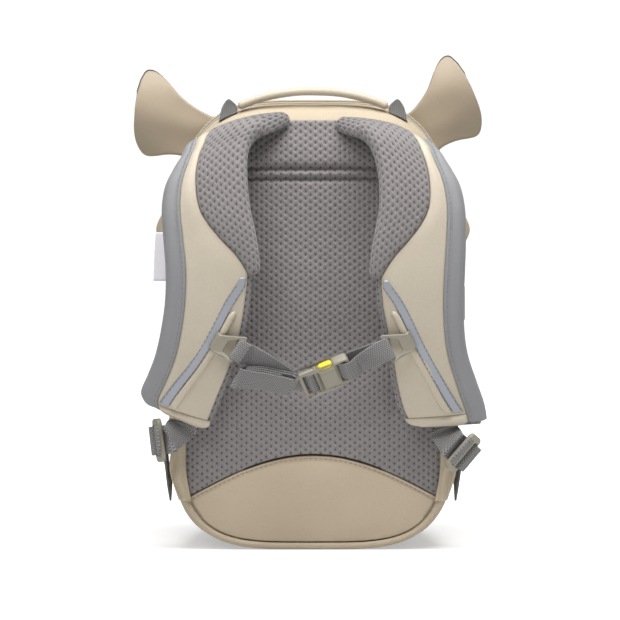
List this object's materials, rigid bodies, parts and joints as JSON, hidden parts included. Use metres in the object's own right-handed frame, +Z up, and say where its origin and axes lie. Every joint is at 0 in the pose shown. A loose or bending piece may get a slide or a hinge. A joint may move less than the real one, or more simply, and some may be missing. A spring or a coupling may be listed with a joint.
{
  "type": "kids animal backpack",
  "caption": "Small padded child's backpack with ears, standing on its base: hollow bag, mesh back, curved shoulder straps, chest strap and top handle.",
  "frame": {"origin": "middle of the flat patch of the base that the bag stands on, on the floor plane", "axes": "+X across the bag, to the right as seen from the wearer's side; +Y from the wearer's side to the front of the bag; +Z up"},
  "size_m": [0.242, 0.182, 0.341],
  "materials": {
    "bag_cloth": "tightly woven beige polyester, matt",
    "air_mesh": "grey spacer mesh with staggered holes over foam",
    "smooth_panel": "smooth beige coated cloth with a row of stitches",
    "grey_binding": "grey grosgrain binding with a slight sheen",
    "webbing": "grey woven webbing",
    "strap_cloth": "smooth beige coated cloth",
    "reflector": "bare light grey reflective tape",
    "clip_plastic": "satin olive-beige moulded plastic",
    "button_plastic": "yellow moulded plastic",
    "zip": "beige zip tape with a plain coil",
    "ear_lining": "dark grey cloth",
    "label": "bare white woven label"
  },
  "bodies": {
    "root": {"adjuster_web_left": "webbing", "adjuster_web_right": "webbing", "back_mesh": "air_mesh", "back_piping": "bag_cloth", "buckle_button": "button_plastic", "buckle_female": "clip_plastic", "buckle_male": "clip_plastic", "chest_web_left": "webbing", "chest_web_right": "webbing", "clip_left": "clip_plastic", "clip_right": "clip_plastic", "ear_left": "bag_cloth", "ear_left_lining": "ear_lining", "ear_right": "bag_cloth", "ear_right_lining": "ear_lining", "front_shell": "bag_cloth", "handle_grip": "bag_cloth", "handle_tab_left": "webbing", "handle_tab_right": "webbing", "ladder_lock_left": "clip_plastic", "ladder_lock_right": "clip_plastic", "lumbar_panel": "smooth_panel", "rear_gusset": "bag_cloth", "side_flap_left": "bag_cloth", "side_flap_right": "bag_cloth", "side_label": "label", "side_web_left": "webbing", "side_web_right": "webbing", "strap_left_binding": "grey_binding", "strap_left_cover": "strap_cloth", "strap_left_hem": "strap_cloth", "strap_left_neck_mesh": "air_mesh", "strap_left_pad": "air_mesh", "strap_left_rail": "strap_cloth", "strap_left_reflector": "reflector", "strap_right_binding": "grey_binding", "strap_right_cover": "strap_cloth", "strap_right_hem": "strap_cloth", "strap_right_neck_mesh": "air_mesh", "strap_right_pad": "air_mesh", "strap_right_rail": "strap_cloth", "strap_right_reflector": "reflector", "wing_left": "bag_cloth", "wing_right": "bag_cloth", "zip_slider": "clip_plastic", "zip_tape": "zip"}
  },
  "joints": []
}
